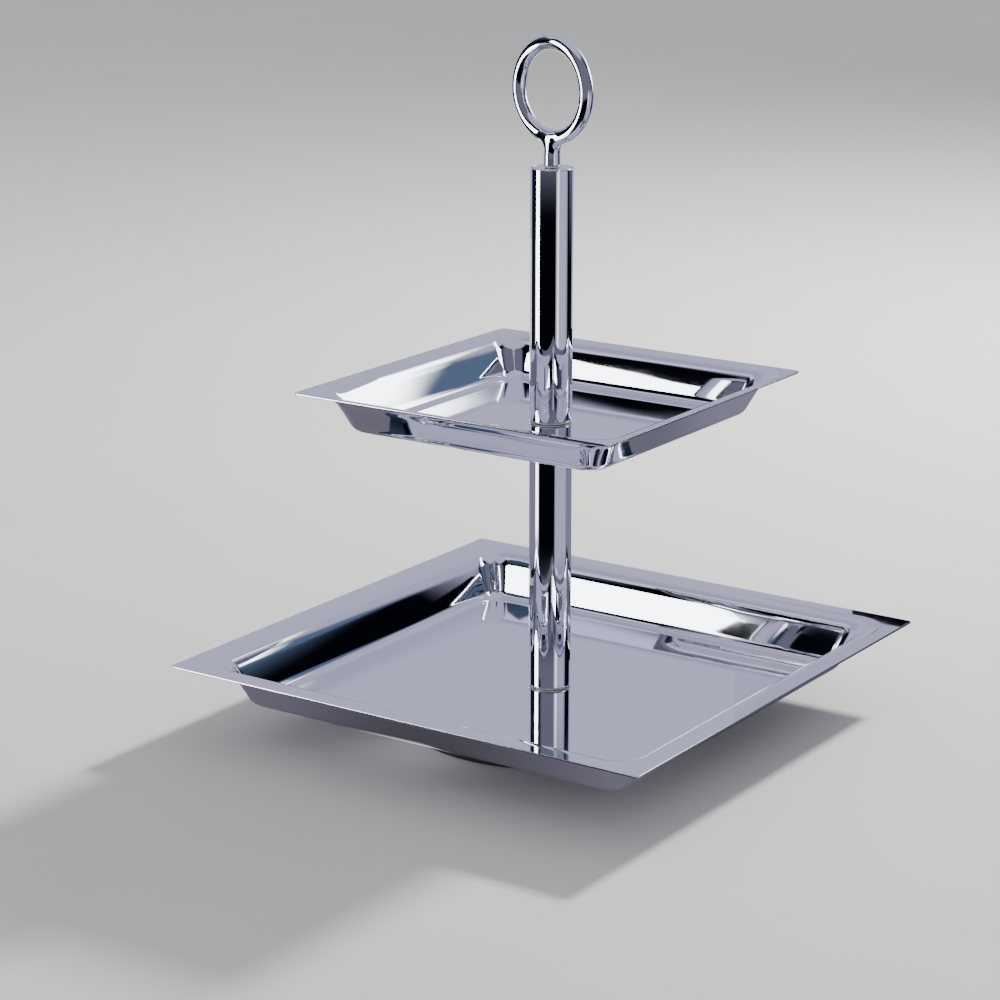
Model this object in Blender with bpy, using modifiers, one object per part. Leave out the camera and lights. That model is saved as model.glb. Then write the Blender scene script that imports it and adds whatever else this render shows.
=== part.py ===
"""A two-tier cake stand: two square pressed trays on a tube column, with a dish foot and a ring handle.

Run with: blender --background --python part.py
The origin is on the column's axis at the surface the stand rests on, with +Z up and metres throughout.
"""

import math

import bmesh
import bpy

# Clearances between pieces that touch.
GAP = 0.0003

# Trays, given as full widths and drops below the flat rim's top face.
LOWER_WIDTH = 0.300
LOWER_DEPTH = 0.0245
LOWER_SHEET = 0.0012
LOWER_RIM_FLAT = 0.0085
UPPER_WIDTH = 0.200
UPPER_DEPTH = 0.022
UPPER_SHEET = 0.0010
UPPER_RIM_FLAT = 0.001
BEND_RADIUS = 0.015
FLOOR_FILLET = 0.007
WALL_ANGLE = math.radians(63)
WELL_CORNER = 0.007
BEND_CORNER = 0.020
RIM_CORNER = 0.0025
TIER_SPACING = 0.150

# Column.
TUBE_RADIUS = 0.0117
TUBE_WALL = 0.001
TUBE_EDGE = 0.0004
PLUG_LENGTH = 0.014
UPPER_TUBE_LENGTH = 0.1385

# Fasteners. Each washer's width is that of its ring, from the bore to the edge.
STUD_RADIUS = 0.004
STUD_GRIP = 0.010
HANDLE_STUD_RADIUS = 0.003
HANDLE_STUD_GRIP = 0.012
HANDLE_STUD_IN_STEM = 0.008
THREAD_CHAMFER = 0.0005
BOLT_ACROSS_FLATS = 0.013
BOLT_HEAD_HEIGHT = 0.0053
BOLT_WASHER_WIDTH = 0.0077
BOLT_WASHER_THICKNESS = 0.0016
LOCK_WASHER_WIDTH = 0.0031
LOCK_WASHER_THICKNESS = 0.002
LOCK_WASHER_SPLIT = 0.0008

# Thin nylon washers that keep polished faces apart. An inset is how far one hides inside its tube or stem.
WASHER_THICKNESS = 0.0006
FOOT_WASHER_RADIUS = 0.030
COLUMN_WASHER_INSET = 0.0007
HANDLE_WASHER_INSET = 0.0002

# Foot dish and the soft trim on its edge.
FOOT_RADIUS = 0.080
FOOT_SHEET = 0.0012
FOOT_SHOULDER = 0.004
FOOT_HEIGHT = 0.0165
TRIM_WALL = 0.0007
TRIM_HEIGHT = 0.0028
TRIM_FLOOR = 0.0012

# Ring handle.
RING_RADIUS = 0.0253
RING_WIRE = 0.0040
RING_TURN = math.radians(-12)
RING_CENTRE_ABOVE_TUBE = 0.0414
STEM_RADIUS = 0.0045
STEM_TAPER = 0.0076
STEM_TIP_SHARE = 0.6

# Mesh fineness.
ROUND_STEPS = 36
BIG_ROUND_STEPS = 64
CORNER_STEPS = 4
BEND_STEPS = 4
RING_STEPS = 44
WIRE_STEPS = 14

# Heights, from the table up.
foot_bottom = TRIM_FLOOR + GAP
foot_top = foot_bottom + FOOT_HEIGHT
foot_washer_bottom = foot_top + GAP
lower_tray_bottom = foot_washer_bottom + WASHER_THICKNESS + GAP
lower_floor = lower_tray_bottom + LOWER_SHEET
lower_rim = lower_floor + LOWER_DEPTH
lower_tube_bottom = lower_floor + WASHER_THICKNESS + 2 * GAP
upper_rim = lower_rim + TIER_SPACING
upper_floor = upper_rim - UPPER_DEPTH
upper_tray_bottom = upper_floor - UPPER_SHEET
lower_tube_top = upper_tray_bottom - WASHER_THICKNESS - 2 * GAP
upper_tube_bottom = upper_floor + WASHER_THICKNESS + 2 * GAP
upper_tube_top = upper_tube_bottom + UPPER_TUBE_LENGTH
stem_bottom = upper_tube_top + WASHER_THICKNESS + 2 * GAP
ring_centre = upper_tube_top + RING_CENTRE_ABOVE_TUBE

# Radii that follow from a piece inside or outside them.
plug_radius = TUBE_RADIUS - TUBE_WALL - GAP
stud_bore = STUD_RADIUS + GAP
handle_stud_bore = HANDLE_STUD_RADIUS + GAP
bolt_washer_radius = stud_bore + BOLT_WASHER_WIDTH
lock_washer_radius = stud_bore + LOCK_WASHER_WIDTH
column_washer_radius = TUBE_RADIUS - COLUMN_WASHER_INSET
handle_washer_radius = STEM_RADIUS - HANDLE_WASHER_INSET


def clear_scene():
    for old in list(bpy.data.objects):
        bpy.data.objects.remove(old, do_unlink=True)


def new_collection(name):
    collection = bpy.data.collections.new(name)
    bpy.context.scene.collection.children.link(collection)
    return collection


def finish_material(name, colour, roughness, metallic):
    """A plain Principled BSDF material."""
    material = bpy.data.materials.new(name)
    material.use_nodes = True
    shader = material.node_tree.nodes["Principled BSDF"]
    shader.inputs["Base Color"].default_value = (*colour, 1.0)
    shader.inputs["Roughness"].default_value = roughness
    shader.inputs["Metallic"].default_value = metallic
    return material


def add_object(name, mesh, material, collection):
    obj = bpy.data.objects.new(name, mesh)
    obj.data.materials.append(material)
    collection.objects.link(obj)
    return obj


def turned(name, profile, material, steps=ROUND_STEPS, collection=None):
    """A turned piece. The profile is (radius, height) points that run down the outer side, top to bottom.

    A profile whose ends are both on the axis makes a solid piece. Any other is closed into a ring.
    """
    mesh = bpy.data.meshes.new(name)
    points = [(radius, 0, height) for radius, height in profile]
    edges = [(i, i + 1) for i in range(len(points) - 1)]
    if profile[0][0] > 0:
        edges.append((len(points) - 1, 0))
    mesh.from_pydata(points, edges, [])
    obj = add_object(name, mesh, material, collection or parts)
    screw = obj.modifiers.new("turn", "SCREW")
    screw.angle = 2 * math.pi
    screw.steps = steps
    screw.render_steps = steps
    screw.use_merge_vertices = True
    screw.merge_threshold = 0.00001
    screw.use_smooth_shade = True
    return obj


def ring_profile(outer, inner, bottom, top, edge=0.0):
    """A rectangle section with its two outer corners cut by a small chamfer."""
    if edge == 0:
        return [(outer, top), (outer, bottom), (inner, bottom), (inner, top)]
    return [
        (outer - edge, top),
        (outer, top - edge),
        (outer, bottom + edge),
        (outer - edge, bottom),
        (inner, bottom),
        (inner, top),
    ]


def rod_profile(radius, bottom, top, edge):
    """A solid rod with chamfered ends."""
    return [
        (0, top),
        (radius - edge, top),
        (radius, top - edge),
        (radius, bottom + edge),
        (radius - edge, bottom),
        (0, bottom),
    ]


def boolean(obj, cutter, operation):
    modifier = obj.modifiers.new(operation.lower(), "BOOLEAN")
    modifier.operation = operation
    modifier.solver = "EXACT"
    modifier.object = cutter


def helper(obj):
    """Hides a cutter from the render and draws it as a wire frame."""
    obj.hide_render = True
    obj.display_type = "WIRE"
    return obj


def rounded_square(half, radius, steps):
    """Corner arcs of a square with rounded corners, counter-clockwise, as (x, y) points."""
    points = []
    for quarter in range(4):
        start = quarter * math.pi / 2
        centre = half - radius
        sign_x = math.copysign(1, math.cos(start + math.pi / 4))
        sign_y = math.copysign(1, math.sin(start + math.pi / 4))
        for step in range(steps + 1):
            angle = start + step * math.pi / 2 / steps
            x = sign_x * centre + radius * math.cos(angle)
            y = sign_y * centre + radius * math.sin(angle)
            points.append((x, y))
    return points


def tray_section(width, depth, rim_flat):
    """(half width, drop below the rim) down the tray's top face, from the rim's edge to the flat floor."""
    bend_x = width / 2 - rim_flat
    section = [(width / 2, 0.0), (bend_x, 0.0)]
    for step in range(1, BEND_STEPS + 1):
        slope = WALL_ANGLE * step / BEND_STEPS
        drop = BEND_RADIUS * (1 - math.cos(slope))
        section.append((bend_x - BEND_RADIUS * math.sin(slope), drop))
    fillet_drop = FLOOR_FILLET * (1 - math.cos(WALL_ANGLE))
    wall_top_x, wall_top_drop = section[-1]
    wall_drop = depth - fillet_drop - wall_top_drop
    wall_end_x = wall_top_x - wall_drop / math.tan(WALL_ANGLE)
    floor_x = wall_end_x - FLOOR_FILLET * math.sin(WALL_ANGLE)
    for step in range(BEND_STEPS + 1):
        slope = WALL_ANGLE * (1 - step / BEND_STEPS)
        drop = depth - FLOOR_FILLET * (1 - math.cos(slope))
        section.append((floor_x + FLOOR_FILLET * math.sin(slope), drop))
    return section


def pressed_tray(name, width, depth, sheet, rim_flat, rim_height, material):
    """A square tray pressed from one sheet, with a round hole in its floor for the stud.

    The top face is lofted through rounded squares: the plan corner opens from WELL_CORNER at the floor
    to BEND_CORNER where the wall meets the flat rim, whose own corners are RIM_CORNER.
    """
    section = tray_section(width, depth, rim_flat)
    bend_x = section[1][0]
    floor_x = section[-1][0]
    mesh = bpy.data.meshes.new(name)
    build = bmesh.new()
    rings = []
    for index, (half, drop) in enumerate(section):
        share = (half - floor_x) / (bend_x - floor_x)
        radius = WELL_CORNER + share * (BEND_CORNER - WELL_CORNER)
        outline = rounded_square(half, RIM_CORNER if index == 0 else radius, CORNER_STEPS)
        rings.append([build.verts.new((x, y, rim_height - drop)) for x, y in outline])
    hole = []
    count = len(rings[0])
    for i in range(count):
        angle = math.pi / 4 + (i - CORNER_STEPS / 2) * 2 * math.pi / count
        place = (stud_bore * math.cos(angle), stud_bore * math.sin(angle), rim_height - depth)
        hole.append(build.verts.new(place))
    rings.append(hole)
    for outer, inner in zip(rings, rings[1:]):
        for i in range(len(outer)):
            j = (i + 1) % len(outer)
            build.faces.new((outer[i], outer[j], inner[j], inner[i]))
    build.to_mesh(mesh)
    build.free()
    mesh.shade_smooth()
    tray = add_object(name, mesh, material, parts)
    solidify = tray.modifiers.new("sheet", "SOLIDIFY")
    solidify.thickness = sheet
    solidify.offset = -1
    solidify.use_even_offset = True
    return tray


def make_foot():
    """A spun dish, open below: a flat top, a rounded shoulder and a straight skirt."""
    inner = FOOT_RADIUS - FOOT_SHEET
    outside = [(stud_bore, foot_top)]
    inside = [(stud_bore, foot_top - FOOT_SHEET)]
    centre_r = FOOT_RADIUS - FOOT_SHOULDER
    centre_z = foot_top - FOOT_SHOULDER
    for wall, arc_radius in ((outside, FOOT_SHOULDER), (inside, FOOT_SHOULDER - FOOT_SHEET)):
        for step in range(BEND_STEPS + 1):
            angle = math.pi / 2 * (1 - step / BEND_STEPS)
            wall.append((centre_r + arc_radius * math.cos(angle), centre_z + arc_radius * math.sin(angle)))
    outside.append((FOOT_RADIUS, foot_bottom))
    inside.append((inner, foot_bottom))
    turned("foot", outside + inside[::-1], chrome, BIG_ROUND_STEPS)


def make_foot_trim():
    """A soft channel round the skirt's edge, which the stand rests on."""
    outer_wall = FOOT_RADIUS + GAP + TRIM_WALL
    slot_outer = FOOT_RADIUS + GAP
    slot_inner = FOOT_RADIUS - FOOT_SHEET - GAP
    inner_wall = slot_inner - TRIM_WALL
    profile = [
        (outer_wall, TRIM_HEIGHT),
        (outer_wall, 0),
        (inner_wall, 0),
        (inner_wall, TRIM_HEIGHT),
        (slot_inner, TRIM_HEIGHT),
        (slot_inner, TRIM_FLOOR),
        (slot_outer, TRIM_FLOOR),
        (slot_outer, TRIM_HEIGHT),
    ]
    turned("foot_edge_trim", profile, rubber, BIG_ROUND_STEPS)


def make_foot_bolt():
    """A hexagon-head bolt from under the foot up into the lower tube, with its two washers."""
    under_foot = foot_top - FOOT_SHEET
    flat_top = under_foot - GAP
    flat_bottom = flat_top - BOLT_WASHER_THICKNESS
    lock_top = flat_bottom - GAP
    lock_bottom = lock_top - LOCK_WASHER_THICKNESS
    head_top = lock_bottom - GAP
    head_bottom = head_top - BOLT_HEAD_HEIGHT
    turned("foot_bolt_washer", ring_profile(bolt_washer_radius, stud_bore, flat_bottom, flat_top), steel)
    lock_profile = ring_profile(lock_washer_radius, stud_bore, lock_bottom, lock_top)
    lock = turned("foot_lock_washer", lock_profile, steel)
    split_mesh = bpy.data.meshes.new("lock_washer_split")
    split_size = (lock_washer_radius, LOCK_WASHER_SPLIT, 2 * LOCK_WASHER_THICKNESS)
    split_place = (lock_washer_radius, 0, (lock_top + lock_bottom) / 2)
    build = bmesh.new()
    bmesh.ops.create_cube(build, size=1)
    bmesh.ops.scale(build, vec=split_size, verts=build.verts)
    bmesh.ops.translate(build, vec=split_place, verts=build.verts)
    build.to_mesh(split_mesh)
    build.free()
    split = helper(add_object("lock_washer_split", split_mesh, steel, cutters))
    boolean(lock, split, "DIFFERENCE")

    hexagon = bpy.data.meshes.new("foot_bolt")
    build = bmesh.new()
    corner_radius = BOLT_ACROSS_FLATS / 2 / math.cos(math.pi / 6)
    head_middle = (head_top + head_bottom) / 2
    bmesh.ops.create_cone(
        build,
        cap_ends=True,
        segments=6,
        radius1=corner_radius,
        radius2=corner_radius,
        depth=BOLT_HEAD_HEIGHT,
    )
    bmesh.ops.translate(build, vec=(0, 0, head_middle), verts=build.verts)
    build.to_mesh(hexagon)
    build.free()
    bolt = add_object("foot_bolt", hexagon, steel, parts)
    shank_profile = rod_profile(STUD_RADIUS, head_middle, lower_tube_bottom + STUD_GRIP, THREAD_CHAMFER)
    shank = turned("foot_bolt_shank", shank_profile, steel, collection=cutters)
    boolean(bolt, helper(shank), "UNION")


def make_column_tube(name, bottom, top):
    inner = TUBE_RADIUS - TUBE_WALL
    turned(name, ring_profile(TUBE_RADIUS, inner, bottom, top, TUBE_EDGE), chrome)


def make_plug(name, bottom, bore):
    turned(name, ring_profile(plug_radius, bore, bottom, bottom + PLUG_LENGTH), chrome)


def make_washer(name, radius, bore, bottom):
    turned(name, ring_profile(radius, bore, bottom, bottom + WASHER_THICKNESS), nylon)


def make_ring_handle():
    """A ring of round wire on a short stem, with a blind hole up the stem for the handle stud."""
    bpy.ops.mesh.primitive_torus_add(
        major_radius=RING_RADIUS,
        minor_radius=RING_WIRE,
        major_segments=RING_STEPS,
        minor_segments=WIRE_STEPS,
        location=(0, 0, ring_centre),
        rotation=(math.pi / 2, 0, RING_TURN),
    )
    ring = bpy.context.object
    ring.name = "ring_handle"
    ring.data.name = "ring_handle"
    for collection in list(ring.users_collection):
        collection.objects.unlink(ring)
    parts.objects.link(ring)
    ring.data.materials.append(chrome)
    ring.data.shade_smooth()
    wire_axis = ring_centre - RING_RADIUS
    stem_profile = [
        (0, wire_axis),
        (STEM_TIP_SHARE * RING_WIRE, wire_axis),
        (RING_WIRE, wire_axis - RING_WIRE),
        (STEM_RADIUS, wire_axis - STEM_TAPER),
        (STEM_RADIUS, stem_bottom),
        (0, stem_bottom),
    ]
    stem = helper(turned("handle_stem", stem_profile, chrome, collection=cutters))
    bore_top = stem_bottom + HANDLE_STUD_IN_STEM + GAP
    bore_bottom = stem_bottom - GAP
    bore_profile = [
        (0, bore_top),
        (handle_stud_bore, bore_top),
        (handle_stud_bore, bore_bottom),
        (0, bore_bottom),
    ]
    bore = helper(turned("handle_stem_bore", bore_profile, chrome, collection=cutters))
    boolean(ring, stem, "UNION")
    boolean(ring, bore, "DIFFERENCE")


clear_scene()
parts = new_collection("tiered_cake_stand")
cutters = new_collection("cutters")
chrome = finish_material("polished_chrome", (0.88, 0.88, 0.91), 0.05, 1.0)
steel = finish_material("zinc_steel", (0.62, 0.62, 0.60), 0.35, 1.0)
nylon = finish_material("clear_nylon", (0.86, 0.87, 0.86), 0.35, 0.0)
rubber = finish_material("black_rubber", (0.02, 0.02, 0.02), 0.6, 0.0)

make_foot_trim()
make_foot()
make_foot_bolt()
make_washer("foot_washer", FOOT_WASHER_RADIUS, stud_bore, foot_washer_bottom)
pressed_tray("lower_tray", LOWER_WIDTH, LOWER_DEPTH, LOWER_SHEET, LOWER_RIM_FLAT, lower_rim, chrome)
make_washer("lower_column_washer", column_washer_radius, stud_bore, lower_floor + GAP)
make_column_tube("lower_tube", lower_tube_bottom, lower_tube_top)
make_plug("lower_tube_bottom_plug", lower_tube_bottom, stud_bore)
make_plug("lower_tube_top_plug", lower_tube_top - PLUG_LENGTH, stud_bore)
joining_bottom = lower_tube_top - STUD_GRIP
joining_top = upper_tube_bottom + STUD_GRIP
turned("joining_stud", rod_profile(STUD_RADIUS, joining_bottom, joining_top, THREAD_CHAMFER), steel)
make_washer("upper_tray_lower_washer", column_washer_radius, stud_bore, lower_tube_top + GAP)
pressed_tray("upper_tray", UPPER_WIDTH, UPPER_DEPTH, UPPER_SHEET, UPPER_RIM_FLAT, upper_rim, chrome)
make_washer("upper_tray_upper_washer", column_washer_radius, stud_bore, upper_floor + GAP)
make_column_tube("upper_tube", upper_tube_bottom, upper_tube_top)
make_plug("upper_tube_bottom_plug", upper_tube_bottom, stud_bore)
make_plug("upper_tube_top_plug", upper_tube_top - PLUG_LENGTH, handle_stud_bore)
make_washer("handle_washer", handle_washer_radius, handle_stud_bore, upper_tube_top + GAP)
handle_stud_bottom = upper_tube_top - HANDLE_STUD_GRIP
handle_stud_top = stem_bottom + HANDLE_STUD_IN_STEM
handle_stud_profile = rod_profile(HANDLE_STUD_RADIUS, handle_stud_bottom, handle_stud_top, THREAD_CHAMFER)
turned("handle_stud", handle_stud_profile, steel)
make_ring_handle()
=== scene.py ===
"""A two-tier cake stand of polished chrome: square trays on a tube column, a dish foot and a ring handle."""

import math

import bpy
import numpy as np
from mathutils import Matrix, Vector


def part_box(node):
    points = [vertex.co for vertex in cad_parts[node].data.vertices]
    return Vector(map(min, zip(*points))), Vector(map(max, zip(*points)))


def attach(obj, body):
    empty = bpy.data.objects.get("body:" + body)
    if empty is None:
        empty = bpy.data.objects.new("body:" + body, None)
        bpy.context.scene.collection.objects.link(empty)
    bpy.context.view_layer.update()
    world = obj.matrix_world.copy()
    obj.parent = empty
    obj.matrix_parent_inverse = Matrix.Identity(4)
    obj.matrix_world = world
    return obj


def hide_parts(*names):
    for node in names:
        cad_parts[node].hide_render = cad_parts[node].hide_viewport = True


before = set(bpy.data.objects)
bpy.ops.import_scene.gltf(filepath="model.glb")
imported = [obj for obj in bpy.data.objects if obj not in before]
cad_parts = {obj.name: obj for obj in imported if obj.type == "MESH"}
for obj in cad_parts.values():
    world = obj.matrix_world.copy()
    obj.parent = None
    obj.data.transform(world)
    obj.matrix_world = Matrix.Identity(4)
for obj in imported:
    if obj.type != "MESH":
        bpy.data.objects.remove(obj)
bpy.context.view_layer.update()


# ---- Foot edge trim ----
# A channel of black rubber pushed on to the foot's lower edge, so that the stand doesn't scratch the table.
# Extruded as a strip and bent round; the foot's sheet sits in its slot.


def rounded_outline(corners, radii, steps=6, hold=0.3):
    """Closed (radius, height) outline with an arc at each corner, tangent to both sides that meet there.

    An arc of radius r in a corner of angle a starts r / tan(a/2) from the corner, and its points turn evenly
    about a centre r / sin(a/2) along the bisector. A point a little way before and after each arc (hold times
    r away) keeps the shading of the flats flat.
    """
    corners = np.asarray(corners, float)
    pieces = []
    for before, corner, after, radius in zip(np.roll(corners, 1, 0), corners, np.roll(corners, -1, 0), radii):
        back = (before - corner) / np.linalg.norm(before - corner)
        on = (after - corner) / np.linalg.norm(after - corner)
        if radius == 0:
            pieces.append(corner[None])
            continue
        angle = math.acos(np.clip(back @ on, -1, 1))
        reach = radius / math.tan(angle / 2)
        centre = corner + (back + on) / np.linalg.norm(back + on) * radius / math.sin(angle / 2)
        first, last = corner + back * reach - centre, corner + on * reach - centre
        turn = math.pi - angle
        share = np.linspace(0, 1, steps + 1)[:, None]
        arc = (np.sin((1 - share) * turn) * first + np.sin(share * turn) * last) / math.sin(turn)
        lead_in = corner + back * (reach + hold * radius)
        lead_out = corner + on * (reach + hold * radius)
        pieces += [lead_in[None], centre + arc, lead_out[None]]
    return np.concatenate(pieces)


def turned_rings(profile, steps):
    """Each (radius, height) of the profile carried once round the column's axis: (points, steps, 3)."""
    angle = np.linspace(0, 2 * math.pi, steps, endpoint=False)
    radius, height = profile[:, :1], profile[:, 1:]
    spread = np.broadcast_to(height, (len(profile), steps))
    return np.stack([radius * np.cos(angle), radius * np.sin(angle), spread], axis=2)


def skin(name, rings, closed=True, first_pole=None, last_pole=None):
    """A mesh of quads from rings of points, (rings, around, 3), running down the outer side.

    Ring i joins ring i+1, and closed joins the last to the first. A pole closes an end with triangles.
    """
    count, around = rings.shape[:2]
    index = np.arange(count * around).reshape(count, around)
    below = np.roll(index, -1, 0) if closed else index[1:]
    above = index if closed else index[:-1]
    quads = np.stack([above, below, np.roll(below, -1, 1), np.roll(above, -1, 1)], axis=2).reshape(-1, 4)
    points = rings.reshape(-1, 3)
    faces = quads.tolist()
    for pole, ring, turn in ((first_pole, index[0], -1), (last_pole, index[-1], 1)):
        if pole is not None:
            fan = np.stack([ring, np.full(around, len(points)), np.roll(ring, -1)], axis=1)
            faces += fan[:, ::turn].tolist()
            points = np.concatenate([points, [pole]])
    mesh = bpy.data.meshes.new(name)
    mesh.from_pydata(points.tolist(), [], faces)
    mesh.shade_smooth()
    obj = bpy.data.objects.new(name, mesh)
    bpy.context.scene.collection.objects.link(obj)
    return obj


class Term:
    """A shader value in an expression: each operator adds a Math node."""

    def __init__(self, finish, socket):
        self.finish = finish
        self.socket = socket

    def math(self, operation, first, second=0.0):
        return self.finish.node("ShaderNodeMath", {"operation": operation}, {0: first, 1: second})

    def __add__(self, other):
        return self.math("ADD", self, other)

    def __mul__(self, other):
        return self.math("MULTIPLY", self, other)

    def __pow__(self, other):
        return self.math("POWER", self, other)

    __radd__ = __add__
    __rmul__ = __mul__


class Finish:
    """A material on a Principled BSDF, with its constant sockets given by name."""

    def __init__(self, name, constants):
        self.material = bpy.data.materials.new(name)
        self.material.use_nodes = True
        self.tree = self.material.node_tree
        self.shader = self.tree.nodes["Principled BSDF"]
        for socket, value in constants.items():
            self.shader.inputs[socket].default_value = value

    def node(self, kind, settings, inputs, out=0):
        """Any node: its settings first, then its sockets, each a number, a colour or a Term."""
        node = self.tree.nodes.new(kind)
        for key, value in settings.items():
            setattr(node, key, value)
        for key, value in inputs.items():
            if isinstance(value, Term):
                self.tree.links.new(value.socket, node.inputs[key])
            else:
                node.inputs[key].default_value = value
        return Term(self, node.outputs[out])

    def place(self, stretch=(1, 1, 1)):
        """Object coordinates, scaled by stretch."""
        here = self.node("ShaderNodeTexCoord", {}, {}, "Object")
        return self.node("ShaderNodeMapping", {}, {"Vector": here, "Scale": stretch})

    def noise(self, where, scale, detail):
        """Noise from 0 to 1, with scale waves to the metre."""
        return self.node("ShaderNodeTexNoise", {}, {"Vector": where, "Scale": scale, "Detail": detail})

    def tint(self, share, first, second):
        """A colour between two, by share."""
        settings = {"data_type": "RGBA", "clamp_factor": True}
        colours = {"Factor": share, 6: (*first, 1), 7: (*second, 1)}
        return self.node("ShaderNodeMix", settings, colours, 2)

    def feed(self, socket, term):
        self.tree.links.new(term.socket, self.shader.inputs[socket])

    def bump(self, height, distance):
        """Height in shares of distance, in metres."""
        self.feed("Normal", self.node("ShaderNodeBump", {}, {"Height": height, "Distance": distance}))


def rubber_finish():
    """Black rubber with a fine grain and paler worn patches."""
    finish = Finish("black_rubber", {"Specular IOR Level": 0.4})
    grain = finish.noise(finish.place(), scale=2600, detail=3)
    wear = finish.noise(finish.place(), scale=90, detail=3)
    finish.feed("Base Color", finish.tint(wear, (0.012, 0.012, 0.013), (0.035, 0.034, 0.034)))
    finish.feed("Roughness", wear * 0.25 + 0.45)
    finish.bump(grain, distance=0.00002)
    return finish.material


def stands_for(obj, body, node, material):
    """Gives a piece its finish, and puts it in place of the CAD node on that node's body."""
    obj.data.materials.append(material)
    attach(obj, body)
    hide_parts(node)


lo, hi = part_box("foot_edge_trim")
TRIM_WALL = 0.0007
TRIM_FLOOR = 0.0012
TRIM_SLOT = 0.0018
TRIM_TOP_EDGE = 0.0003
TRIM_LOWER_EDGE = 0.0004
TRIM_SLOT_CORNER = 0.0002
TRIM_STEPS = 192
trim_out, trim_in = hi[0], hi[0] - 2 * TRIM_WALL - TRIM_SLOT
trim_corners = [
    (trim_out, hi[2]),
    (trim_out, lo[2]),
    (trim_in, lo[2]),
    (trim_in, hi[2]),
    (trim_in + TRIM_WALL, hi[2]),
    (trim_in + TRIM_WALL, lo[2] + TRIM_FLOOR),
    (trim_out - TRIM_WALL, lo[2] + TRIM_FLOOR),
    (trim_out - TRIM_WALL, hi[2]),
]
trim_radii = [TRIM_TOP_EDGE, TRIM_LOWER_EDGE, TRIM_LOWER_EDGE, TRIM_TOP_EDGE]
trim_radii += [TRIM_TOP_EDGE, TRIM_SLOT_CORNER, TRIM_SLOT_CORNER, TRIM_TOP_EDGE]
trim_outline = rounded_outline(trim_corners, trim_radii, steps=4)
trim = skin("rubber_edge_trim", turned_rings(trim_outline, TRIM_STEPS))
stands_for(trim, "base", "foot_edge_trim", rubber_finish())


# ---- Foot ----
# A round dish spun from steel sheet, open below, polished and chrome plated.
# Its flat top carries the lower tray, and its straight skirt ends in the trim.


def chrome_finish(name, ripple, smudge, stretch=(1, 1, 1)):
    """Polished chrome: a cool tint that drifts, faint handling marks, hairlines and a little ripple.

    ripple is the height in metres of the waves left by pressing or rolling, and smudge the added roughness
    where the plating has been handled.
    """
    finish = Finish(name, {"Metallic": 1.0})
    where = finish.place()
    drift = finish.noise(where, scale=9, detail=2)
    marks = finish.noise(where, scale=38, detail=5) ** 3.0
    hairlines = finish.noise(finish.place(stretch), scale=900, detail=2)
    waves = finish.noise(where, scale=130, detail=1)
    finish.feed("Base Color", finish.tint(drift, (0.84, 0.85, 0.90), (0.92, 0.92, 0.95)))
    finish.feed("Roughness", marks * smudge + hairlines * 0.02 + 0.012)
    finish.bump(waves + hairlines * 0.01, ripple)
    return finish.material


lo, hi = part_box("foot")
FOOT_SHEET = 0.0012
FOOT_SHOULDER = 0.004
FOOT_LIP = 0.0004
FOOT_HOLE_EDGE = 0.0003
FOOT_STEPS = 320
M8_HOLE = 0.0043
foot_corners = [
    (hi[0], lo[2]),
    (hi[0] - FOOT_SHEET, lo[2]),
    (hi[0] - FOOT_SHEET, hi[2] - FOOT_SHEET),
    (M8_HOLE, hi[2] - FOOT_SHEET),
    (M8_HOLE, hi[2]),
    (hi[0], hi[2]),
]
foot_radii = [FOOT_LIP, FOOT_LIP, FOOT_SHOULDER - FOOT_SHEET, FOOT_HOLE_EDGE, FOOT_HOLE_EDGE, FOOT_SHOULDER]
foot_outline = rounded_outline(foot_corners, foot_radii, steps=14, hold=0.1)
foot = skin("spun_foot", turned_rings(foot_outline, FOOT_STEPS))
foot_chrome = chrome_finish("chrome_spun", ripple=0.0000015, smudge=0.10, stretch=(1, 1, 14))
stands_for(foot, "base", "foot", foot_chrome)


# ---- Foot bolt and its washers ----
# A zinc-plated M8 bolt with a chamfered hexagon head, a split spring washer and a flat washer.
# The bolt comes up through the foot and the tray and draws the lower tube down on them.


def zinc_finish():
    """Bright zinc plating: a slightly mottled warm grey with a satin sheen."""
    finish = Finish("bright_zinc", {"Metallic": 1.0})
    mottle = finish.noise(finish.place(), scale=260, detail=4)
    scuffs = finish.noise(finish.place((1, 1, 6)), scale=1400, detail=2)
    finish.feed("Base Color", finish.tint(mottle, (0.52, 0.53, 0.52), (0.72, 0.71, 0.67)))
    finish.feed("Roughness", mottle * 0.22 + scuffs * 0.1 + 0.16)
    finish.bump(scuffs, distance=0.000006)
    return finish.material


def threaded_rings(radius, pitch, bottom, top, chamfer, steps, row):
    """Rings of a rod with a right-hand screw thread, from its top down, a row apart.

    The radius at height z and angle a is radius - depth * g(z / pitch - a / 2 pi), where g is a trapezium
    between 0 on the crest and 1 in the root. Crest and root are each a sixth of the pitch wide, and a flank
    is a third. A cone of 45 degrees cuts the thread at both ends.
    """
    crest, flank, depth = 1 / 6, 1 / 3, 0.61 * pitch
    height = np.linspace(top, bottom, int((top - bottom) / row))[:, None]
    angle = np.linspace(0, 2 * math.pi, steps, endpoint=False)[None]
    phase = (height / pitch - angle / (2 * math.pi)) % 1
    valley = np.clip((0.5 - crest / 2 - np.abs(phase - 0.5)) / flank, 0, 1)
    from_end = np.minimum(height - bottom, top - height)
    across = np.minimum(radius - depth * valley, radius - chamfer + from_end)
    spread = np.broadcast_to(height, across.shape)
    return np.stack([across * np.cos(angle), across * np.sin(angle), spread], axis=2)


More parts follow.
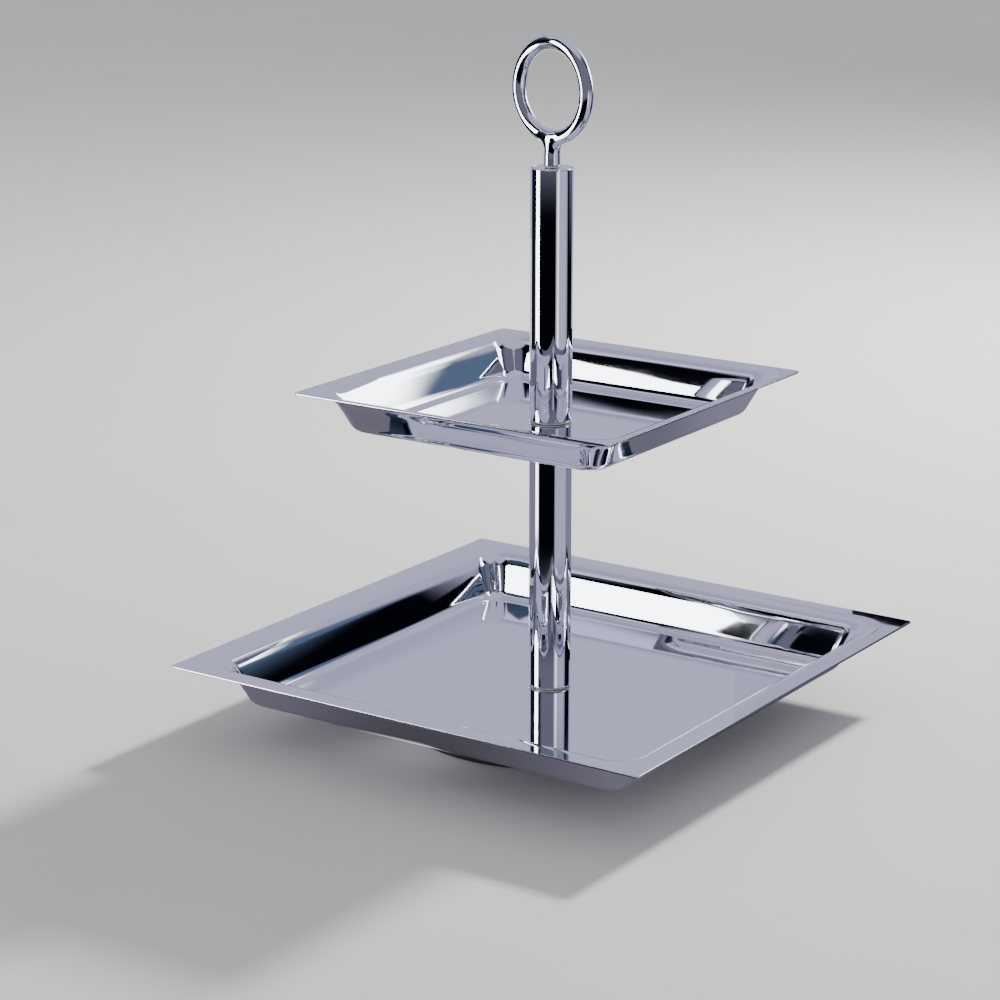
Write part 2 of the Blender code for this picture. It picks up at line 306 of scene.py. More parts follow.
def hexagon_rings(across_flats, bottom, top, steps):
    """Rings of a hexagon head from inside its top face out, and down to its chamfered lower face.

    The hexagon's radius at angle a is half the width over cos(a'), where a' is a's distance from the nearest
    flat's middle. The lower face is cut by a cone of 30 degrees that starts on a circle just inside the
    flats. Rings a hair from the two edges keep the shading of the faces flat.
    """
    hair, circle_share = 0.0001, 0.95
    angle = np.linspace(0, 2 * math.pi, steps, endpoint=False)
    from_flat = (angle + math.pi / 6) % (math.pi / 3) - math.pi / 6
    hexagon = across_flats / 2 / np.cos(from_flat)
    circle = np.full(steps, across_flats / 2 * circle_share)
    cut = (hexagon - circle) * math.tan(math.pi / 6)
    flat = np.zeros(steps)
    outline = [
        (circle / 2, flat + top),
        (circle, flat + top),
        (hexagon - hair, flat + top),
        (hexagon, flat + top - hair),
        (hexagon, flat + (top + bottom) / 2),
        (hexagon, bottom + cut + hair),
        (hexagon - hair, bottom + cut),
        (circle, flat + bottom),
    ]
    radii, heights = np.array(outline).swapaxes(0, 1)
    return np.stack([radii * np.cos(angle), radii * np.sin(angle), heights], axis=2)


zinc = zinc_finish()
lo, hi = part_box("foot_bolt")
M8_RADIUS = 0.004
M8_PITCH = 0.00125
HEAD_HEIGHT = 0.0053
HEAD_ACROSS_FLATS = 0.013
SHANK_IN_HEAD = 0.0002
SHANK_CHAMFER = 0.0008
SHANK_ROW = 0.00012
BOLT_STEPS = 72
head_top = lo[2] + HEAD_HEIGHT
shank_bottom = head_top - SHANK_IN_HEAD
head = hexagon_rings(HEAD_ACROSS_FLATS, lo[2], head_top, BOLT_STEPS)
shank = threaded_rings(M8_RADIUS, M8_PITCH, shank_bottom, hi[2], SHANK_CHAMFER, BOLT_STEPS, SHANK_ROW)
bolt_rings = np.concatenate([shank, head])
bolt = skin("hexagon_bolt", bolt_rings, False, (0, 0, hi[2]), (0, 0, lo[2]))
stands_for(bolt, "base", "foot_bolt", zinc)


def washer_rings(node, bore, edge, steps=128):
    """A flat ring with softened edges that fills a CAD washer's box."""
    low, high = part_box(node)
    corners = [(high[0], high[2]), (high[0], low[2]), (bore, low[2]), (bore, high[2])]
    return turned_rings(rounded_outline(corners, [edge] * 4, steps=4), steps)


FLAT_WASHER_EDGE = 0.00025
flat_washer = skin("flat_washer", washer_rings("foot_bolt_washer", M8_HOLE, FLAT_WASHER_EDGE))
stands_for(flat_washer, "base", "foot_bolt_washer", zinc)

# The spring washer is one turn of rectangular wire, cut through and sprung apart a little at the cut.
lo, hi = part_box("foot_lock_washer")
SPRING_CUT = 0.10
SPRING_LIFT = 0.00045
SPRING_WIRE = 0.00155
SPRING_EDGE = 0.0002
SPRING_STEPS = 120
spring_corners = [(hi[0], SPRING_WIRE), (hi[0], 0), (M8_HOLE, 0), (M8_HOLE, SPRING_WIRE)]
spring_radius, spring_height = rounded_outline(spring_corners, [SPRING_EDGE] * 4, steps=4).T
sweep = np.linspace(SPRING_CUT / 2, 2 * math.pi - SPRING_CUT / 2, SPRING_STEPS)[:, None]
spring_z = lo[2] + spring_height + SPRING_LIFT * sweep / (2 * math.pi)
spring_points = np.stack([spring_radius * np.cos(sweep), spring_radius * np.sin(sweep), spring_z], axis=2)
spring = skin("spring_washer", spring_points, False, spring_points[0].mean(0), spring_points[-1].mean(0))
stands_for(spring, "base", "foot_lock_washer", zinc)


# ---- Nylon washers ----
# Thin natural nylon discs stamped from sheet. They keep the polished faces from rubbing on each other,
# between foot and tray, at both ends of each tube, and under the handle's stem.


def nylon_finish():
    """Natural nylon: milky and slightly clouded."""
    finish = Finish("natural_nylon", {"Subsurface Weight": 0.15, "Subsurface Radius": (0.002, 0.002, 0.002)})
    cloud = finish.noise(finish.place(), scale=300, detail=3)
    finish.feed("Base Color", finish.tint(cloud, (0.70, 0.71, 0.69), (0.82, 0.82, 0.80)))
    finish.feed("Roughness", cloud * 0.2 + 0.28)
    finish.bump(cloud, distance=0.00001)
    return finish.material


nylon = nylon_finish()
NYLON_EDGE = 0.0001
M6_HOLE = 0.0033
for washer_node, washer_body, washer_bore in (
    ("foot_washer", "base", M8_HOLE),
    ("lower_column_washer", "base", M8_HOLE),
    ("upper_tray_lower_washer", "base", M8_HOLE),
    ("upper_tray_upper_washer", "upper_column_lift", M8_HOLE),
    ("handle_washer", "handle_lift", M6_HOLE),
):
    disc = skin("nylon_" + washer_node, washer_rings(washer_node, washer_bore, NYLON_EDGE))
    stands_for(disc, washer_body, washer_node, nylon)


# ---- Trays ----
# Each tray is pressed from one square of steel sheet, then polished and chrome plated. A bend rolls over
# from the flat rim into a steep wall, and a tighter fillet ends it in a flat floor with a hole for the stud.

PRESS_BEND = 0.015
PRESS_FILLET = 0.007
WALL_TOP = math.radians(61.5)
WALL_FOOT = math.radians(64.5)
FLOOR_CORNER = 0.007
BEND_CORNER = 0.020
RIM_CORNER = 0.0025
RIM_STEPS, BEND_STEPS, WALL_STEPS, FILLET_STEPS, FLOOR_STEPS = 12, 33, 14, 26, 40
FLOOR_CROWDING = 1.3
WAVE_HEIGHT = 0.00013
# Each press wave's direction in the plan, its length along it and where it starts.
PRESS_WAVES = ((0.9, 0.5, 0.047, 0.6), (-0.6, 0.8, 0.041, 2.1), (1.0, -0.3, 0.083, 4.0))


def tray_section(width, depth, rim_flat):
    """(half width, drop, slope) along the tray's top face, from the rim's edge to the flat floor.

    The bend, the wall and the fillet are arcs whose slope turns evenly: from 0 to WALL_TOP, on to WALL_FOOT,
    and back to 0. The wall is bowed a little by springing back after the press, and its radius is the drop
    that the other two leave, over the difference of the cosines of its slopes.
    """
    bend_x = width / 2 - rim_flat
    level_rim = np.zeros(RIM_STEPS)
    rim = np.stack([np.linspace(width / 2, bend_x, RIM_STEPS, endpoint=False), level_rim, level_rim], axis=1)
    slope = np.linspace(0, WALL_TOP, BEND_STEPS)
    roll_x, roll_drop = bend_x - PRESS_BEND * np.sin(slope), PRESS_BEND * (1 - np.cos(slope))
    roll = np.stack([roll_x, roll_drop, slope], axis=1)
    left_over = depth - roll_drop[-1] - PRESS_FILLET * (1 - math.cos(WALL_FOOT))
    bow = left_over / (math.cos(WALL_TOP) - math.cos(WALL_FOOT))
    slope = np.linspace(WALL_TOP, WALL_FOOT, WALL_STEPS)[1:]
    wall_x = roll_x[-1] - bow * (np.sin(slope) - math.sin(WALL_TOP))
    wall_drop = roll_drop[-1] + bow * (math.cos(WALL_TOP) - np.cos(slope))
    wall = np.stack([wall_x, wall_drop, slope], axis=1)
    slope = np.linspace(WALL_FOOT, 0, FILLET_STEPS)[1:]
    curl_x = wall_x[-1] - PRESS_FILLET * math.sin(WALL_FOOT) + PRESS_FILLET * np.sin(slope)
    curl = np.stack([curl_x, depth - PRESS_FILLET * (1 - np.cos(slope)), slope], axis=1)
    return np.concatenate([rim, roll, wall, curl])


def rounded_squares(half, radius, arc_steps=20, side_steps=28):
    """One rounded square for each half width and corner radius: (squares, around, 2).

    Each quarter is an arc about a centre at half - radius, then a straight side shared out evenly.
    """
    half, radius = half[:, None], radius[:, None]
    angle = np.linspace(0, math.pi / 2, arc_steps + 1)
    centre = half - radius
    arc = np.stack([centre + radius * np.cos(angle), centre + radius * np.sin(angle)], axis=2)
    share = np.linspace(0, 1, side_steps + 1)[1:-1]
    side_x = centre - 2 * centre * share
    side = np.stack([side_x, np.broadcast_to(half, side_x.shape)], axis=2)
    quarter = np.concatenate([arc, side], axis=1)
    turned = np.stack([-quarter[:, :, 1], quarter[:, :, 0]], axis=2)
    return np.concatenate([quarter, turned, -quarter, -turned], axis=1)


def press_waves(x, y):
    """How far the sheet stands off its true form, from -1 to 1: the mean of the crossing sines."""
    waves = [
        np.sin(2 * math.pi * (x * share_x + y * share_y) / length + start)
        for share_x, share_y, length, start in PRESS_WAVES
    ]
    return sum(waves) / len(waves)


def tray_rings(node, depth, sheet, rim_flat):
    """Closed rings of a pressed tray: over its top face from the stud's hole, round the rim, and back below.

    The plan's corner radius opens evenly from the floor to the rim's bend, and closes again to the rim's
    corner. The lower face is the upper one moved by the sheet's thickness along the slope's normal. Between
    rim and floor both faces rise and fall together with the press waves, by the square of the slope's sine.
    The rim's edge is a half round, and rings crowd towards the hole as they turn from square to circle.
    """
    low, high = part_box(node)
    rim_half = (high[0] - low[0]) / 2
    half, drop, slope = tray_section(high[0] - low[0], depth, rim_flat).T
    bend_half, floor_half = rim_half - rim_flat, half[-1]
    share = (half - floor_half) / (bend_half - floor_half)
    wall_corner = FLOOR_CORNER + share * (BEND_CORNER - FLOOR_CORNER)
    flat_corner = np.interp(half, [bend_half, rim_half], [BEND_CORNER, RIM_CORNER])
    corner = np.where(share > 1, flat_corner, wall_corner)
    edge = sheet / 2
    top_height = high[2] - drop
    under_half = half + sheet * np.sin(slope)
    under_height = top_height - sheet * np.cos(slope)
    under_corner = corner + sheet * np.sin(slope)
    half[0] = under_half[0] = rim_half - edge
    corner[0] = under_corner[0] = RIM_CORNER - edge
    edge_turn = np.linspace(0, math.pi, 13)[1:-1]
    edge_half = rim_half - edge + edge * np.sin(edge_turn)
    edge_height = high[2] - edge + edge * np.cos(edge_turn)
    edge_corner = RIM_CORNER - edge + edge * np.sin(edge_turn)

    def raised(squares, height, steepness):
        wave = WAVE_HEIGHT * steepness[:, None] * press_waves(squares[:, :, 0], squares[:, :, 1])
        return np.concatenate([squares, (height[:, None] + wave)[:, :, None]], axis=2)

    top = raised(rounded_squares(half, corner), top_height, np.sin(slope) ** 2)
    rim = raised(rounded_squares(edge_half, edge_corner), edge_height, np.zeros(len(edge_half)))
    under = raised(rounded_squares(under_half, under_corner), under_height, np.sin(slope) ** 2)
    outline = top[-1, :, :2]
    angle = np.unwrap(np.arctan2(outline[:, 1], outline[:, 0]))
    circle = M8_HOLE * np.stack([np.cos(angle), np.sin(angle)], axis=1)
    share = np.linspace(1, 0, FLOOR_STEPS)[1:, None, None] ** FLOOR_CROWDING
    flat = circle + (outline - circle) * share
    floor = np.concatenate([flat, np.full((*flat.shape[:2], 1), top_height[-1])], axis=2)
    below_floor = floor - np.array([0, 0, sheet])
    return np.concatenate([below_floor[::-1], under[::-1], rim[::-1], top, floor])


for tray_node, tray_depth, tray_sheet, tray_flat in (
    ("lower_tray", 0.0245, 0.0012, 0.0085),
    ("upper_tray", 0.0220, 0.0010, 0.0010),
):
    rings = tray_rings(tray_node, tray_depth, tray_sheet, tray_flat)
    tray = skin("pressed_" + tray_node, rings[::-1])
    tray_chrome = chrome_finish("chrome_" + tray_node, ripple=0.0000035, smudge=0.09)
    stands_for(tray, tray_node, tray_node, tray_chrome)


# ---- Column ----
# Two lengths of drawn steel tube, polished and plated, meet at the upper tray. A turned steel plug closes
# each end of each tube and takes a thread, and an M8 stud joins the tubes through the tray's hole.

TUBE_WALL = 0.001
TUBE_OUTER_EDGE = 0.0004
TUBE_BORE_EDGE = 0.0002
TUBE_STEPS = 256
tube_chrome = chrome_finish("chrome_tube", ripple=0.0000012, smudge=0.05, stretch=(1, 1, 0.03))
for tube_node, tube_body in (("lower_tube", "base"), ("upper_tube", "upper_column")):
    low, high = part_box(tube_node)
    bore = high[0] - TUBE_WALL
    tube_corners = [(high[0], high[2]), (high[0], low[2]), (bore, low[2]), (bore, high[2])]
    tube_radii = [TUBE_OUTER_EDGE, TUBE_OUTER_EDGE, TUBE_BORE_EDGE, TUBE_BORE_EDGE]
    tube_outline = rounded_outline(tube_corners, tube_radii, steps=8)
    tube = skin("polished_" + tube_node, turned_rings(tube_outline, TUBE_STEPS))
    stands_for(tube, tube_body, tube_node, tube_chrome)

PLUG_EDGE = 0.0002
PLUG_STEPS = 192
plug_chrome = chrome_finish("chrome_turned", ripple=0.0000008, smudge=0.08)
for plug_node, plug_body, plug_bore in (
    ("lower_tube_bottom_plug", "base", M8_HOLE),
    ("lower_tube_top_plug", "base", M8_HOLE),
    ("upper_tube_bottom_plug", "upper_column", M8_HOLE),
    ("upper_tube_top_plug", "upper_column", M6_HOLE),
):
    plug = skin("turned_" + plug_node, washer_rings(plug_node, plug_bore, PLUG_EDGE, PLUG_STEPS))
    stands_for(plug, plug_body, plug_node, plug_chrome)

M6_RADIUS = 0.003
M6_PITCH = 0.001
STUD_CHAMFER = 0.0007
STUD_STEPS = 64
STUD_ROW = 0.00008
for stud_node, stud_body, stud_radius, stud_pitch in (
    ("joining_stud", "base", M8_RADIUS, M8_PITCH),
    ("handle_stud", "handle", M6_RADIUS, M6_PITCH),
):
    low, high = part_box(stud_node)
    thread = threaded_rings(stud_radius, stud_pitch, low[2], high[2], STUD_CHAMFER, STUD_STEPS, STUD_ROW)
    stud = skin("threaded_" + stud_node, thread, False, (0, 0, high[2]), (0, 0, low[2]))
    stands_for(stud, stud_body, stud_node, zinc)


# ---- Ring handle ----
# A ring of round steel wire, butt-welded and brazed to a short turned stem. The joint is ground to a smooth
# fillet, and the whole is polished and plated. The stud fills the stem's threaded hole, which is left out.

RING = 0.0253
WIRE = 0.0040
STEM = 0.0045
STEM_EDGE = 0.0004
NECK = 0.0032
NECK_LENGTH = 0.011
HANDLE_FILLET = 0.0065
RING_TURN = math.radians(-12)
low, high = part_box("ring_handle")
stem_foot = low[2]
ring_centre = high[2] - WIRE - RING
stem_top = ring_centre - RING


def handle_distance(points):
    """Signed distance to the handle, with the ring and the stem run together by a fillet.

    The ring is a torus: the length of (distance in its plane - RING, distance from its plane) - WIRE. The
    stem is a rod: the greater of (distance from the axis - radius) and its two ends, with rounded edges. Its
    radius eases from STEM to NECK under the ring. The fillet is a polynomial smooth minimum:
    min(a, b) - h * h * k / 4, with h = max(k - |a - b|, 0) / k.
    """
    x, y, z = points[..., 0], points[..., 1], points[..., 2]
    along = x * math.cos(RING_TURN) + y * math.sin(RING_TURN)
    aside = -x * math.sin(RING_TURN) + y * math.cos(RING_TURN)
    in_plane = np.hypot(along, z - ring_centre)
    ring = np.hypot(in_plane - RING, aside) - WIRE
    lean = np.clip((z - (stem_top - NECK_LENGTH)) / NECK_LENGTH, 0, 1)
    radius = STEM + (NECK - STEM) * lean * lean * (3 - 2 * lean)
    side = np.hypot(x, y) - radius
    ends = np.maximum(stem_foot - z, z - stem_top)
    outside = np.hypot(np.maximum(side + STEM_EDGE, 0), np.maximum(ends + STEM_EDGE, 0))
    stem = outside + np.minimum(np.maximum(side, ends) + STEM_EDGE, 0) - STEM_EDGE
    blend = np.maximum(HANDLE_FILLET - np.abs(ring - stem), 0) / HANDLE_FILLET
    return np.minimum(ring, stem) - blend * blend * HANDLE_FILLET / 4


def slope_of(points, step=0.000004):
    """The unit gradient of the handle's distance, by central differences."""
    parts = []
    for axis in np.eye(3) * step:
        parts.append(handle_distance(points + axis) - handle_distance(points - axis))
    gradient = np.stack(parts, axis=-1)
    return gradient / np.linalg.norm(gradient, axis=-1, keepdims=True)


def net_skin(low_corner, high_corner, cell, rounds):
    """A closed mesh of where the distance is zero, from a grid of cells.

    Each cell that the surface passes through gets one point, the mean of where its twelve edges cross zero.
    Each grid edge that crosses zero gets the quad of the four cells round it. The points are then moved on to
    the surface along the gradient, in a few rounds.
    """
    counts = [math.ceil(length / cell) + 1 for length in high_corner - low_corner]
    axes = [start + cell * np.arange(count) for start, count in zip(low_corner, counts)]
    grid = np.stack(np.meshgrid(*axes, indexing="ij"), axis=-1)
    value = handle_distance(grid)
    inside = value < 0
    cells = tuple(n - 1 for n in counts)
    total, hits = np.zeros((*cells, 3)), np.zeros(cells)
    for axis in range(3):
        crossing = np.diff(inside.astype(int), axis=axis) != 0
        first = np.take(value, range(counts[axis] - 1), axis)
        second = np.take(value, range(1, counts[axis]), axis)
        share = np.where(crossing, first / np.where(crossing, first - second, 1), 0)
        place = np.take(grid, range(counts[axis] - 1), axis).copy()
        place[..., axis] += share * cell
        others = [a for a in range(3) if a != axis]
        for shift_a in (0, 1):
            for shift_b in (0, 1):
                window = [slice(0, n) for n in cells]
                window[others[0]] = slice(shift_a, shift_a + cells[others[0]])
                window[others[1]] = slice(shift_b, shift_b + cells[others[1]])
                hit = crossing[tuple(window)]
                total += np.where(hit[..., None], place[tuple(window)], 0)
                hits += hit
    used = hits > 0
    number = np.full(cells, -1)
    number[used] = np.arange(used.sum())
    points = total[used] / hits[used][:, None]
    for _ in range(rounds):
        points = points - slope_of(points) * handle_distance(points)[:, None]
    quads = []
    for axis in range(3):
        b, c = (axis + 1) % 3, (axis + 2) % 3
        change = np.diff(inside.astype(int), axis=axis)
        where = np.argwhere(change != 0)
        sign = change[tuple(where.T)]
        step_b, step_c = np.eye(3, dtype=int)[b], np.eye(3, dtype=int)[c]
        corners = [where - step_b - step_c, where - step_c, where, where - step_b]
        quad = np.stack([number[tuple(corner.T)] for corner in corners], axis=1)
        quads.append(np.where(sign[:, None] < 0, quad, quad[:, ::-1]))
    return points, np.concatenate(quads)


NET_MARGIN = 0.0015
NET_CELL = 0.00055
NET_ROUNDS = 6
net_low, net_high = np.array(low) - NET_MARGIN, np.array(high) + NET_MARGIN
handle_points, handle_quads = net_skin(net_low, net_high, NET_CELL, NET_ROUNDS)
handle_mesh = bpy.data.meshes.new("ring_handle_solid")
handle_mesh.from_pydata(handle_points.tolist(), [], handle_quads.tolist())
handle_mesh.shade_smooth()
handle_mesh.normals_split_custom_set_from_vertices(slope_of(handle_points).tolist())
handle = bpy.data.objects.new("brazed_ring_handle", handle_mesh)
bpy.context.scene.collection.objects.link(handle)
handle_chrome = chrome_finish("chrome_handle", ripple=0.0000008, smudge=0.05)
stands_for(handle, "handle", "ring_handle", handle_chrome)


# ---- Studio ----
# A plain pale matt table under an even sky, a key lamp high behind the stand's right shoulder, and reflector
# cards all round. Only polished metal sees the cards, as a photographer sets them to draw chrome.

VIEW_AZIMUTH = math.radians(34.27)
VIEW_ELEVATION = math.radians(15.61)
VIEW_DISTANCE = 1.587
AIM_ASIDE = -0.0278
AIM_HEIGHT = 0.1279
VIEW_LENS = 103.5
SENSOR = 36
toward = np.array([math.sin(VIEW_AZIMUTH), -math.cos(VIEW_AZIMUTH), 0])
aside = np.array([math.cos(VIEW_AZIMUTH), math.sin(VIEW_AZIMUTH), 0])
up = np.array([0, 0, 1.0])


def stage_sheet(name, grid, material):
    """An open sheet from a (rows, columns, 3) grid, for the table and the cards."""
    rows, columns = grid.shape[:2]
    index = np.arange(rows * columns).reshape(rows, columns)
    quads = np.stack([index[:-1, :-1], index[:-1, 1:], index[1:, 1:], index[1:, :-1]], axis=2).reshape(-1, 4)
    mesh = bpy.data.meshes.new(name)
    mesh.from_pydata(grid.reshape(-1, 3).tolist(), [], quads.tolist())
    mesh.materials.append(material)
    sheet = bpy.data.objects.new(name, mesh)
    bpy.context.scene.collection.objects.link(sheet)
    return sheet


def level(bearing):
    """Level directions, by degrees round from the viewer's side of the stand towards the viewer's right."""
    turn = np.radians(bearing)[..., None]
    return np.cos(turn) * toward + np.sin(turn) * aside


def step_up(value, start, end):
    """0 up to start, 1 from end on, and a smooth rise between them."""
    share = np.clip((value - start) / (end - start), 0, 1)
    return share * share * (3 - 2 * share)


def hump(value, low_point, high_point, soft):
    """1 between two values and 0 outside them, with soft edges that end at the two values."""
    return step_up(value, low_point, low_point + soft) * (1 - step_up(value, high_point - soft, high_point))


def blended(first, second, share):
    """The first colour where share is 0, the second where it is 1, and a mix between."""
    return first + (np.asarray(second) - first) * share[..., None]


reflector = bpy.data.materials.new("reflector_card")
reflector.use_nodes = True
reflector.node_tree.nodes.clear()
glow_read = reflector.node_tree.nodes.new("ShaderNodeAttribute")
glow_read.attribute_name = "glow"
glow_out = reflector.node_tree.nodes.new("ShaderNodeEmission")
glow_end = reflector.node_tree.nodes.new("ShaderNodeOutputMaterial")
reflector.node_tree.links.new(glow_read.outputs["Color"], glow_out.inputs["Color"])
reflector.node_tree.links.new(glow_out.outputs[0], glow_end.inputs["Surface"])


def card(name, grid, glow):
    """A card that only mirror reflections see, with its own glow at each point of the grid."""
    sheet = stage_sheet(name, grid, reflector)
    colour = np.concatenate([glow.reshape(-1, 3), np.ones((glow.size // 3, 1))], axis=1)
    sheet.data.attributes.new("glow", "FLOAT_COLOR", "POINT").data.foreach_set("color", colour.ravel())
    sheet.visible_camera = False
    sheet.visible_diffuse = False
    sheet.visible_transmission = False
    sheet.visible_shadow = False


LAVENDER = np.array([0.56, 0.55, 0.76])
COOL_WHITE = np.array([0.95, 0.97, 1.0])
STEEL_BLUE = np.array([0.10, 0.145, 0.25])
BLACK = np.array([0.0015, 0.002, 0.004])
FRONT_GREY = np.array([0.15, 0.155, 0.215])

# The dome closes the studio. It is grey in front, lavender behind and overhead, and black between the two.
# Behind, high up on the left, one patch glows more, a wide one beside it is duller, and a small one is blue.
DOME_REACH = 1.5
bearing, rise = np.meshgrid(np.linspace(0, 360, 241), np.linspace(0, 90, 91))
tilt = np.radians(rise)[..., None]
dome_grid = DOME_REACH * (np.cos(tilt) * level(bearing) + np.sin(tilt) * up)
behind = hump(bearing, 108, 260, 9)
overhead = step_up(rise, 60, 68)
glowing = 0.45 * hump(bearing, 225, 262, 16) * hump(rise, 46, 72, 8)
duller = 0.22 * hump(bearing, 185, 245, 25) * hump(rise, 25, 80, 15)
bluer = 0.6 * hump(bearing, 254, 272, 6) * hump(rise, 36, 48, 5)
in_front = np.maximum(1 - step_up(bearing, 70, 98), step_up(bearing, 300, 318))
dome_glow = blended(BLACK, LAVENDER, np.maximum(behind, overhead))
dome_glow = dome_glow * (1 + glowing)[..., None] * (1 - duller)[..., None]
dome_glow = blended(dome_glow, STEEL_BLUE, bluer)
dome_glow = blended(dome_glow, FRONT_GREY, in_front * (1 - overhead))
card("dome", dome_grid, dome_glow)

# The wall cards stand round the stand. These are the bearings where one ends and the next begins.
CARD_REACH = 0.66
CARD_STEPS = 121
SOFTBOX_LEFT = -90
SOFTBOX_RIGHT = -68
PANEL_LEFT = 22
PANEL_RIGHT = 92
FLAG_RIGHT = 158


def wall_card(name, left, right, low_point, high_point, paint, reach=CARD_REACH):
    """A card bent round the stand between two bearings and heights. Its glow is paint(bearing, height)."""
    across, upward = np.linspace(left, right, CARD_STEPS), np.linspace(low_point, high_point, CARD_STEPS)
    turn, height = np.meshgrid(across, upward)
    card(name, reach * level(turn) + height[..., None] * up, paint(turn, height))


def plain(colour):
    """The paint of a card that glows evenly."""
    return lambda turn, height: np.broadcast_to(colour, (*turn.shape, 3)).copy()


def right_panel(turn, height):
    """Lavender with a white streak, darker towards the right, and grey at the top as the dome's front is."""
    streak = hump(turn, 28, 40, 3)
    fade = 1 - 0.6 * step_up(turn, 76, 92)
    panel = blended(LAVENDER * 0.95, COOL_WHITE * 1.8, streak) * fade[..., None]
    return blended(panel, FRONT_GREY, step_up(height, 0.24, 0.40))


def front_flag(turn, height):
    """Black, grey at the top as the dome's front is."""
    return blended(BLACK, FRONT_GREY, step_up(height, 0.17, 0.24))


def key_panel(turn, height):
    """White above a slanting edge, steel blue under it, black at the foot, and lavender towards the right."""
    edge = np.minimum(0.325 + 0.0075 * np.abs(turn - 118), 0.46)
    white = step_up(height, edge - 0.04, edge + 0.03) * (1 - step_up(turn, 146, 158))
    blue = blended(BLACK, STEEL_BLUE, step_up(height, 0.18, 0.27))
    blue = blended(blue, LAVENDER * 0.9, step_up(turn, 129, 139))
    return blended(blue, COOL_WHITE * 7, white)


def left_flag(turn, height):
    """Black, and a dim blue at the top."""
    return blended(BLACK * 4, STEEL_BLUE * 0.5, step_up(height, 0.55, 0.85))


softbox = plain(COOL_WHITE * 8)
wall_card("low_softbox", SOFTBOX_LEFT, SOFTBOX_RIGHT, 0.0, 0.40, softbox)
wall_card("high_softbox", SOFTBOX_LEFT, SOFTBOX_RIGHT, 0.2, 0.92, softbox, reach=1.05)
wall_card("front_flag", SOFTBOX_RIGHT, PANEL_LEFT, 0.0, 0.24, front_flag)
wall_card("right_panel", PANEL_LEFT, PANEL_RIGHT, 0.0, 0.40, right_panel)
wall_card("right_flag", PANEL_RIGHT, FLAG_RIGHT, 0.0, 0.30, plain(BLACK))
wall_card("key_panel", 104, 160, 0.14, 0.54, key_panel, reach=0.40)
wall_card("left_flag", 230, 264, 0.0, 0.90, left_flag)

# A card laid on the table, seen only in chrome, paints the table's light and shade: painted reflections carry
# the walls' tones on under the trays, and near the foot a painted shadow of dim, patchy grey, with one
# painted highlight beside the trim on the softboxes' side.
FLOOR_CARD_IN = 0.0815
FLOOR_CARD_LIFT = 0.0008
# Painted shadow: the dim grey that stands in for the stand's shade on the table near the foot.
PAINTED_SHADOW_GREY = np.array([0.11, 0.105, 0.135])
turn, reach = np.meshgrid(np.linspace(-180, 180, 241), np.linspace(CARD_REACH, FLOOR_CARD_IN, 91))
# Painted reflections of the walls on the table: black under the front flag, white under the softbox, lavender
# under the right panel.
flag_reflection = hump(turn, SOFTBOX_RIGHT, PANEL_LEFT + 2, 6)
softbox_reflection = hump(turn, SOFTBOX_LEFT, SOFTBOX_RIGHT, 4) * step_up(reach, 0.34, 0.42)
panel_reflection = hump(turn, PANEL_LEFT, PANEL_RIGHT, 5)
# Painted shadow near the foot, made patchy by the next line.
shadow_near_foot = 1 - step_up(reach, 0.22, 0.36)
patches = 0.8 + 0.5 * hump(reach, 0.11, 0.30, 0.07) + 0.25 * np.sin(np.radians(turn * 3 + 40))
# A painted highlight beside the trim, on the softboxes' side.
highlight_spot = hump(turn, -76, -36, 8) * (1 - step_up(reach, 0.10, 0.125))
painted_floor_light = np.broadcast_to(LAVENDER * 0.42, (*turn.shape, 3))
painted_floor_light = blended(painted_floor_light, BLACK, flag_reflection)
painted_floor_light = blended(painted_floor_light, COOL_WHITE * 5, softbox_reflection)
painted_floor_light = blended(painted_floor_light, LAVENDER * 0.9, panel_reflection)
painted_floor_light = blended(painted_floor_light, PAINTED_SHADOW_GREY * patches[..., None], shadow_near_foot)
painted_floor_light = blended(painted_floor_light, COOL_WHITE * 1.2, highlight_spot)
card("painted_floor_card", reach[..., None] * level(turn) + FLOOR_CARD_LIFT * up, painted_floor_light)

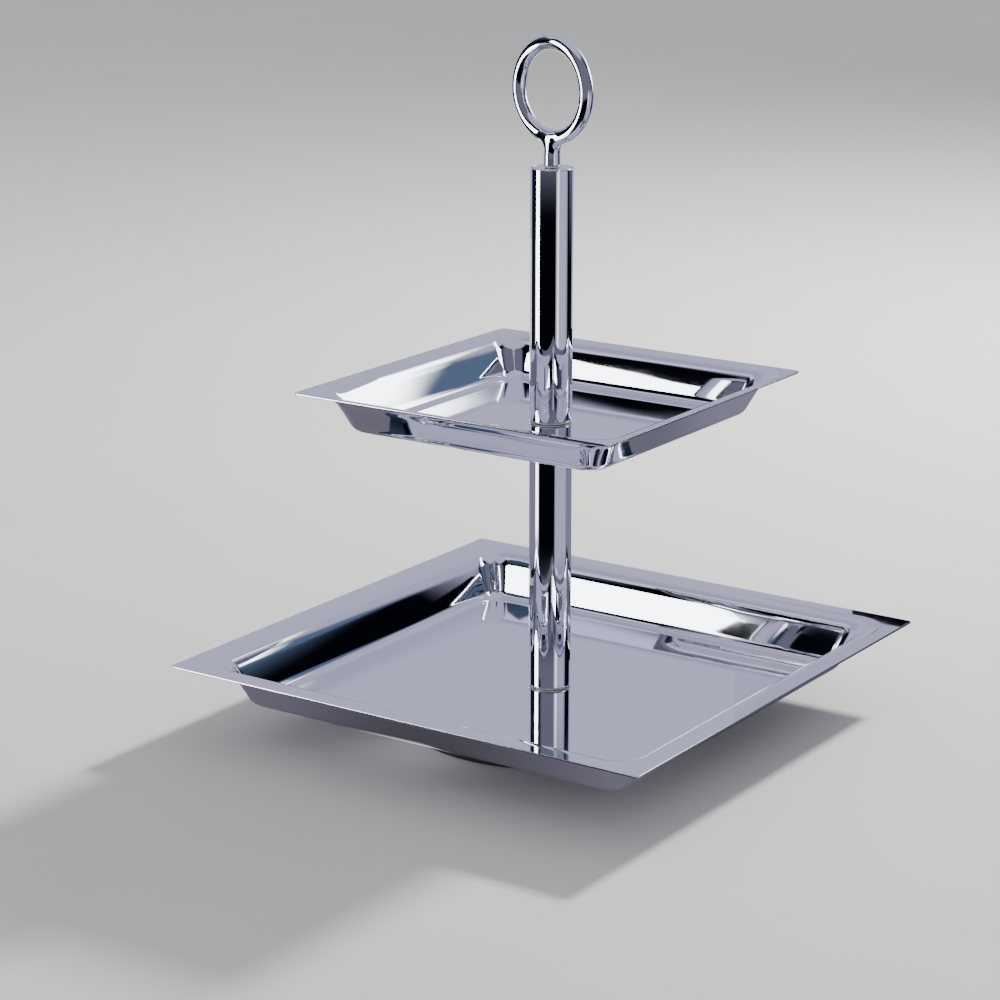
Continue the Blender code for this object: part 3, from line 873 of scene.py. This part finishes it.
TABLE_REACH = 6.0
table = Finish("pale_table", {"Specular IOR Level": 0.0})
table_grain = table.noise(table.place(), scale=420, detail=3)
table_tone = table.noise(table.place(), scale=5, detail=3)
table.feed("Base Color", table.tint(table_tone, (0.76, 0.755, 0.75), (0.81, 0.805, 0.80)))
table.feed("Roughness", table_grain * 0.1 + 0.8)
table.bump(table_grain, distance=0.00012)
span = np.linspace(-TABLE_REACH, TABLE_REACH, 3)
flat_x, flat_y = np.meshgrid(span, span)
stage_sheet("table", np.stack([flat_x, flat_y, np.zeros_like(flat_x)], axis=2), table.material)

KEY_BEARING = 138.0
KEY_RISE = math.radians(40)
KEY_DISTANCE = 2.0
KEY_SIZE = 0.22
KEY_POWER = 56.0
KEY_COLOUR = (1.0, 0.97, 0.93)
key_place = KEY_DISTANCE * (math.cos(KEY_RISE) * level(np.array(KEY_BEARING)) + math.sin(KEY_RISE) * up)
lamp = bpy.data.lights.new("key_lamp", "AREA")
lamp.shape = "DISK"
lamp.size = KEY_SIZE
lamp.energy = KEY_POWER
lamp.color = KEY_COLOUR
key = bpy.data.objects.new("key_lamp", lamp)
bpy.context.scene.collection.objects.link(key)
key.location = key_place
key.rotation_euler = Vector(key_place).to_track_quat("Z", "Y").to_euler()
key.visible_glossy = False

SKY_COLOUR = (0.60, 0.61, 0.63, 1)
SKY_STRENGTH = 1.05
world = bpy.data.worlds.new("even_sky")
world.use_nodes = True
sky = world.node_tree.nodes["Background"]
sky.inputs["Color"].default_value = SKY_COLOUR
sky.inputs["Strength"].default_value = SKY_STRENGTH
bpy.context.scene.world = world

back = toward * math.cos(VIEW_ELEVATION) + up * math.sin(VIEW_ELEVATION)
lens = bpy.data.cameras.new("view")
lens.lens = VIEW_LENS
lens.sensor_width = SENSOR
lens.clip_end = 50
viewer = bpy.data.objects.new("view", lens)
bpy.context.scene.collection.objects.link(viewer)
viewer.location = aside * AIM_ASIDE + up * AIM_HEIGHT + back * VIEW_DISTANCE
viewer.rotation_euler = Vector(back).to_track_quat("Z", "Y").to_euler()
bpy.context.scene.camera = viewer

bpy.context.view_layer.update()
